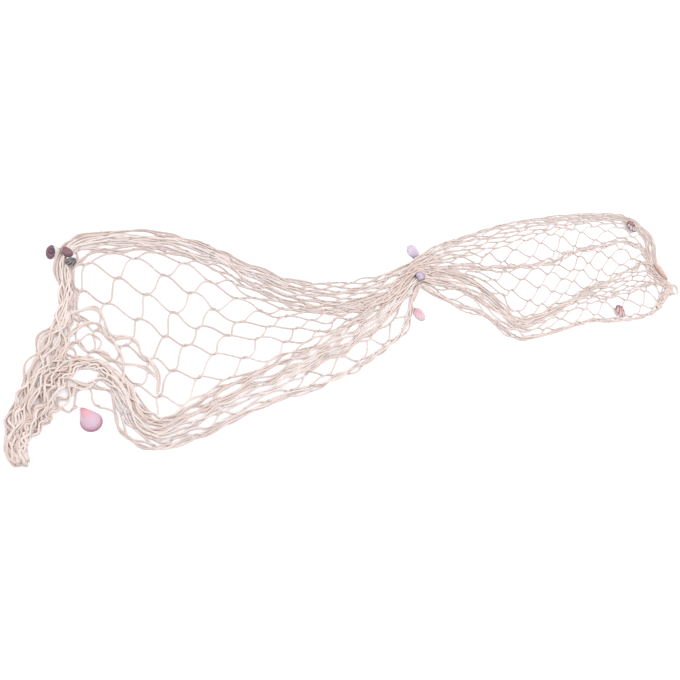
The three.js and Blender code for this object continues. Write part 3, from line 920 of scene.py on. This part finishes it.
after, before = np.zeros((len(knots), 3)), np.zeros((len(knots), 3))
np.add.at(after, bars[:, 0], points[bar_points[:, 3]])
np.add.at(before, bars[:, 1], points[bar_points[:, -4]])
bars_after = np.bincount(bars[:, 0], minlength=len(knots))[:, None]
bars_before = np.bincount(bars[:, 1], minlength=len(knots))[:, None]
here = points[: len(knots)]
after = np.where(bars_after > 0, after / np.maximum(bars_after, 1), here)
before = np.where(bars_before > 0, before / np.maximum(bars_before, 1), here)
lie = after - before
heading = np.arctan2(lie[:, 1], lie[:, 0])
tilt = -np.arctan2(lie[:, 2], np.hypot(lie[:, 0], lie[:, 1]))
roll = chance.choice([0, np.pi], len(here)) + chance.normal(0, 0.3, len(here))
turned = np.stack([roll, tilt, heading], 1)
places = bpy.data.meshes.new("knot-places")
spots = lying_points[: len(knots)].copy()
spots[:, 2] = np.maximum(spots[:, 2], KNOT_LEVEL)
places.from_pydata(spots.tolist(), [], [])
places.attributes.new("turned", "FLOAT_VECTOR", "POINT").data.foreach_set("vector", turned.ravel())
loose_knots = (knot_row > 15) & (knot_row < 23)
places.attributes.new("size", "FLOAT", "POINT").data.foreach_set(
    "value", np.where(loose_knots, 1.05, 0.75) * chance.uniform(0.9, 1.1, len(here))
)
tied_knots, knot_input, knot_material = knot_tree()
knots_piece = made_by_nodes(
    "knots", places, tied_knots, {knot_input: knot_loop, knot_material: cotton}
)
bpy.data.objects.remove(knot_loop)
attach(knots_piece, "root")


# ---- Slack web ----------------------------------------------------------------------------
# Beside the left fold, cotton cords pulled out of it lie as a slack web, three of them side
# by side round the open meshes. At the far end, four cords double back along the lower edge,
# and a short loop stands out at the tip.
SLACK_WEB = [
    # number of cords, how far apart they lie in mm, and the places that they lead over
    (3, 1.6, [(-646, 44), (-634, 50), (-619, 52), (-603, 54), (-593, 49), (-592, 34), (-591, 16),
              (-588, 6), (-577, 4), (-566, 0), (-560, -10), (-559, -24), (-552, -34), (-546, -46),
              (-545, -62), (-552, -84)]),
    (2, 1.5, [(-652, 14), (-641, 20), (-631, 27), (-618, 31), (-606, 31), (-598, 24), (-599, 10),
              (-592, 2), (-585, -10), (-585, -27), (-588, -48), (-596, -66)]),
    (1, 0, [(-660, -4), (-650, 2), (-640, 8), (-631, 11), (-618, 16), (-606, 8), (-606, -2),
            (-614, -9), (-626, -8), (-634, 2), (-631, 11)]),
    (1, 0, [(-658, -14), (-650, 0), (-644, 2), (-640, -6), (-643, -13), (-651, -15), (-654, -8)]),
    (2, 1.5, [(-622, -8), (-608, -10), (-601, -17), (-597, -25), (-587, -34), (-570, -41),
              (-556, -48), (-545, -66)]),
    (1, 0, [(-628, 50), (-618, 42), (-611, 34), (-622, 29), (-640, 22)]),
    (4, 2.6, [(714, -118), (697, -116), (680, -124), (660, -136), (634, -145), (627, -150),
              (634, -153), (660, -143), (682, -130), (700, -122), (716, -121)]),
    (2, 1.2, [(712, -108), (724, -104), (737, -106), (745, -117), (736, -130), (720, -127),
              (713, -119)]),
]


def laid_over(places, apart):
    """A cord that leads over some places on the surface, a little to their side."""
    places = np.array(places) + chance.normal(0, max(apart, 0.7), (len(places), 2))
    level = chance.uniform(1.4, 3.6, (len(places), 1)) + 0.6 * apart
    return (rounded(np.hstack([places, level]), 6 * STEPS) + (*CENTRE, 0)) / 1000


slack_lines = [laid_over(way, apart) for count, apart, way in SLACK_WEB for again in range(count)]
WORN_CORD = 0.0026
slack_web = laid_cords("slack_web", slack_lines, WORN_CORD, 8, cotton)
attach(slack_web, "root")


# ---- Ties ---------------------------------------------------------------------------------
# Each shell hangs on a thin cotton thread, which goes through a hole near its beak and round
# the nearest cord, with its two ends left short.
THREAD = 0.0010
tie_lines = []
for x, y, base, heading, long, wide, high in SHELLS.values():
    rim_way = np.array([np.cos(np.radians(heading)), np.sin(np.radians(heading)), 0])
    beak = np.array([x, y, base + 0.3 * high]) - rim_way * 0.46 * long
    near = points[np.argmin(((points - beak) ** 2).sum(axis=1))]
    over = (beak + near) / 2 + (0, 0, 1.2)
    side = np.cross(rim_way, (0, 0, 1)) * 1.9
    hole = beak + rim_way * 0.14 * long + (0, 0, 0.45 * high)
    tie = [hole, beak + (0, 0, 1), over, near + side, near + (0, 0, 2), near - side, over + side,
           over + 3 * side]
    tie = np.maximum(rounded(np.array(tie), 4 * STEPS), (-np.inf, -np.inf, 0.6))
    tie_lines.append((tie + (*CENTRE, 0)) / 1000)
ties = laid_cords("ties", tie_lines, THREAD, 6, cotton)
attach(ties, "root")


# ---- Shells -------------------------------------------------------------------------------
# Ten small natural sea shells, single valves of clams and scallops. Each lies with its back
# up on the surface or on a fold, and is tied to the netting through its beak.
GROWTH_LINES = 26


def shell_mesh(name, which, ribs, rib_high, fan, beak=0.0, wall=1.1):
    """One valve: a dome from beak to rim, ribbed like a fan, with a thin wall. In mm."""
    x_middle, y_middle, base, heading, long, wide, high = SHELLS[which]
    across_steps, along_steps = max(6 * ribs, 48), 22
    u = np.linspace(0, 1, across_steps + 1)[None, :]
    v = np.linspace(0, 1, along_steps + 1)[:, None] ** 1.15
    turn = np.radians(fan) * (2 * u - 1)
    wave = np.cos(2 * np.pi * ribs * u) if ribs else np.zeros_like(u)
    reach = (0.05 + 0.95 * v) * (1 - 0.018 * wave * v)
    x = wide / 2 * np.sin(turn) * reach * (1 - 0.12 * (1 - v) ** 2)
    rim = beak / 2 + (long - beak) / 2 * np.cos(turn)
    y = -long / 2 + (rim + long / 2) * reach
    inward = 1 - np.abs(2 * u - 1) ** 3.5
    dome = np.sin(np.pi * np.clip(0.06 + 0.94 * v, 0, 1) ** 0.62) ** 0.8 * inward**0.55
    rise = (high - wall - rib_high) * dome - rib_high * wave * v**0.7 * inward * 0.5
    rise = np.maximum(rise + rib_high * 0.5 * v**0.7 * inward, 0)
    top = np.stack(np.broadcast_arrays(x, y, rise + wall), -1)
    under = np.stack(np.broadcast_arrays(x * 0.985, y * 0.985, rise), -1)
    rows, columns = top.shape[:2]
    shape = np.concatenate([top.reshape(-1, 3), under.reshape(-1, 3)])
    number = np.arange(rows * columns).reshape(rows, columns)
    below = number + rows * columns
    quads = [
        (number[:-1, :-1], number[:-1, 1:], number[1:, 1:], number[1:, :-1]),
        (below[:-1, :-1], below[1:, :-1], below[1:, 1:], below[:-1, 1:]),
        (number[-1, :-1], number[-1, 1:], below[-1, 1:], below[-1, :-1]),
        (number[0, 1:], number[0, :-1], below[0, :-1], below[0, 1:]),
        (number[1:, 0], below[1:, 0], below[:-1, 0], number[:-1, 0]),
        (number[:-1, -1], below[:-1, -1], below[1:, -1], number[1:, -1]),
    ]
    faces = np.concatenate([np.stack([c.ravel() for c in quad], -1) for quad in quads])
    aim = np.radians(heading - 90)
    spin = np.array([[np.cos(aim), np.sin(aim), 0], [-np.sin(aim), np.cos(aim), 0], [0, 0, 1]])
    middle = np.array([x_middle + CENTRE[0], y_middle + CENTRE[1], base])
    shape = (shape @ spin + middle) / 1000
    mesh = bpy.data.meshes.new(name)
    mesh.from_pydata(shape.tolist(), [], faces.tolist())
    for axis, value in (("across", u + 0 * v), ("growth", v + 0 * u)):
        both = np.concatenate([value.ravel(), value.ravel()])
        mesh.attributes.new(axis, "FLOAT", "POINT").data.foreach_set("value", both)
    mesh.polygons.foreach_set("use_smooth", [True] * len(mesh.polygons))
    piece = bpy.data.objects.new(name, mesh)
    bpy.context.scene.collection.objects.link(piece)
    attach(piece, "root")
    return piece


def shell_finish(name, tints, ribs, groove, groove_share, bands, band_colour, band_share, gloss):
    """Colours from beak to rim, darker grooves between the ribs, and growth bands across."""
    material, tree, lime = new_material(
        name, Roughness=gloss, Coat_Weight=0.15, Coat_Roughness=0.3
    )
    cloud = mottle(tree, 160, 5)
    growth = sum_up(tree, "MULTIPLY_ADD", cloud, 0.16, stored(tree, "growth"))
    growth = sum_up(tree, "SUBTRACT", growth, 0.08)
    band = sum_up(tree, "SINE", sum_up(tree, "MULTIPLY", growth, 2 * np.pi * bands))
    band = sum_up(tree, "MULTIPLY", sum_up(tree, "SMOOTH_MAX", band, 0.0, 0.2), band_share)
    rib = sum_up(tree, "MULTIPLY", stored(tree, "across"), 2 * np.pi * max(ribs, 1))
    rib = sum_up(tree, "SMOOTH_MAX", sum_up(tree, "COSINE", rib), 0.0, 0.4)
    coloured = mixed(tree, band, graded(tree, growth, tints), band_colour)
    coloured = mixed(tree, sum_up(tree, "MULTIPLY", rib, groove_share), coloured, groove)
    plug(tree, coloured, lime.inputs["Base Color"])
    lines = sum_up(tree, "SINE", sum_up(tree, "MULTIPLY", growth, 2 * np.pi * GROWTH_LINES))
    relief(tree, lime, sum_up(tree, "MULTIPLY_ADD", cloud, 2.0, lines), 0.35, 0.0002)
    return material


def shell(name, which, ribs, form, finish):
    """A finished shell in the place of its plain solid."""
    piece = shell_mesh(name, which, ribs, **form)
    piece.data.materials.append(shell_finish(name.replace("_", " "), ribs=ribs, **finish))
    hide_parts("shell_" + which)


# A smooth pink clam beside the tail: rosy at the beak, pale lavender on its back, with a
# mauve growth band along the rim.
shell(
    "pink_clam_shell", "clam", ribs=0,
    form=dict(rib_high=0.0, fan=122, beak=9.0),
    finish=dict(
        tints=[(0.52, 0.20, 0.24), (0.72, 0.33, 0.36), (0.66, 0.38, 0.45), (0.62, 0.45, 0.55),
               (0.60, 0.42, 0.50), (0.36, 0.13, 0.20)],
        groove=(0.5, 0.2, 0.3), groove_share=0.0, bands=7, band_colour=(0.6, 0.3, 0.42),
        band_share=0.18, gloss=0.32,
    ),
)

# Three small dark shells where the netting turns its upper left corner: one outside the
# fold and two on it, the last one black with white stripes.
shell(
    "dark_purple_shell", "corner_dark", ribs=9,
    form=dict(rib_high=0.7, fan=135),
    finish=dict(
        tints=[(0.42, 0.22, 0.27), (0.16, 0.06, 0.10), (0.09, 0.035, 0.06), (0.24, 0.11, 0.16)],
        groove=(0.035, 0.012, 0.02), groove_share=0.7, bands=4,
        band_colour=(0.42, 0.24, 0.30), band_share=0.45, gloss=0.4,
    ),
)
shell(
    "mauve_brown_shell", "corner_brown", ribs=9,
    form=dict(rib_high=0.7, fan=130),
    finish=dict(
        tints=[(0.22, 0.09, 0.10), (0.30, 0.14, 0.16), (0.36, 0.19, 0.22), (0.16, 0.07, 0.10)],
        groove=(0.06, 0.02, 0.03), groove_share=0.65, bands=4,
        band_colour=(0.12, 0.05, 0.07), band_share=0.5, gloss=0.42,
    ),
)
shell(
    "black_striped_shell", "corner_striped", ribs=5,
    form=dict(rib_high=0.9, fan=130),
    finish=dict(
        tints=[(0.05, 0.04, 0.05), (0.03, 0.025, 0.03), (0.06, 0.05, 0.06)],
        groove=(0.62, 0.58, 0.58), groove_share=0.4, bands=2,
        band_colour=(0.5, 0.46, 0.48), band_share=0.25, gloss=0.38,
    ),
)

# Three pale shells at the waist: a lavender fan behind it, a white and lavender one on top
# of the gathered cords, and a pink fan with a pale rim in front.
shell(
    "lavender_fan_shell", "waist_lavender", ribs=9,
    form=dict(rib_high=0.7, fan=128),
    finish=dict(
        tints=[(0.42, 0.32, 0.38), (0.60, 0.50, 0.58), (0.68, 0.60, 0.68), (0.60, 0.51, 0.60)],
        groove=(0.40, 0.31, 0.42), groove_share=0.7, bands=4,
        band_colour=(0.48, 0.42, 0.62), band_share=0.25, gloss=0.5,
    ),
)
shell(
    "white_lavender_shell", "waist_white", ribs=8,
    form=dict(rib_high=0.6, fan=130),
    finish=dict(
        tints=[(0.34, 0.24, 0.30), (0.66, 0.56, 0.66), (0.54, 0.44, 0.58), (0.10, 0.04, 0.08)],
        groove=(0.28, 0.18, 0.28), groove_share=0.6, bands=3,
        band_colour=(0.5, 0.45, 0.6), band_share=0.2, gloss=0.45,
    ),
)
shell(
    "pink_fan_shell", "waist_pink", ribs=8,
    form=dict(rib_high=0.7, fan=125),
    finish=dict(
        tints=[(0.66, 0.52, 0.52), (0.66, 0.34, 0.38), (0.74, 0.50, 0.53), (0.56, 0.48, 0.50)],
        groove=(0.54, 0.30, 0.34), groove_share=0.6, bands=4,
        band_colour=(0.82, 0.70, 0.70), band_share=0.3, gloss=0.5,
    ),
)

# Three brown shells on the right fan: a red brown scallop with dark and white bands, a
# striped one on the lower fold, and a slender tan one among the cords of the far end.
shell(
    "red_brown_scallop", "right_red", ribs=7,
    form=dict(rib_high=0.9, fan=128),
    finish=dict(
        tints=[(0.30, 0.08, 0.09), (0.42, 0.12, 0.13), (0.40, 0.13, 0.14), (0.16, 0.06, 0.08),
               (0.74, 0.68, 0.68), (0.12, 0.05, 0.07)],
        groove=(0.10, 0.03, 0.04), groove_share=0.85, bands=3.5,
        band_colour=(0.80, 0.74, 0.73), band_share=0.45, gloss=0.45,
    ),
)
shell(
    "striped_scallop", "right_striped", ribs=6,
    form=dict(rib_high=0.9, fan=126),
    finish=dict(
        tints=[(0.24, 0.09, 0.10), (0.46, 0.19, 0.20), (0.66, 0.40, 0.40), (0.66, 0.44, 0.48)],
        groove=(0.14, 0.05, 0.06), groove_share=0.9, bands=3,
        band_colour=(0.80, 0.66, 0.66), band_share=0.4, gloss=0.5,
    ),
)
shell(
    "tan_shell", "end_tan", ribs=6,
    form=dict(rib_high=0.6, fan=150),
    finish=dict(
        tints=[(0.80, 0.66, 0.60), (0.74, 0.56, 0.49), (0.68, 0.48, 0.41), (0.42, 0.25, 0.21)],
        groove=(0.44, 0.28, 0.24), groove_share=0.45, bands=4,
        band_colour=(0.46, 0.29, 0.25), band_share=0.3, gloss=0.45,
    ),
)
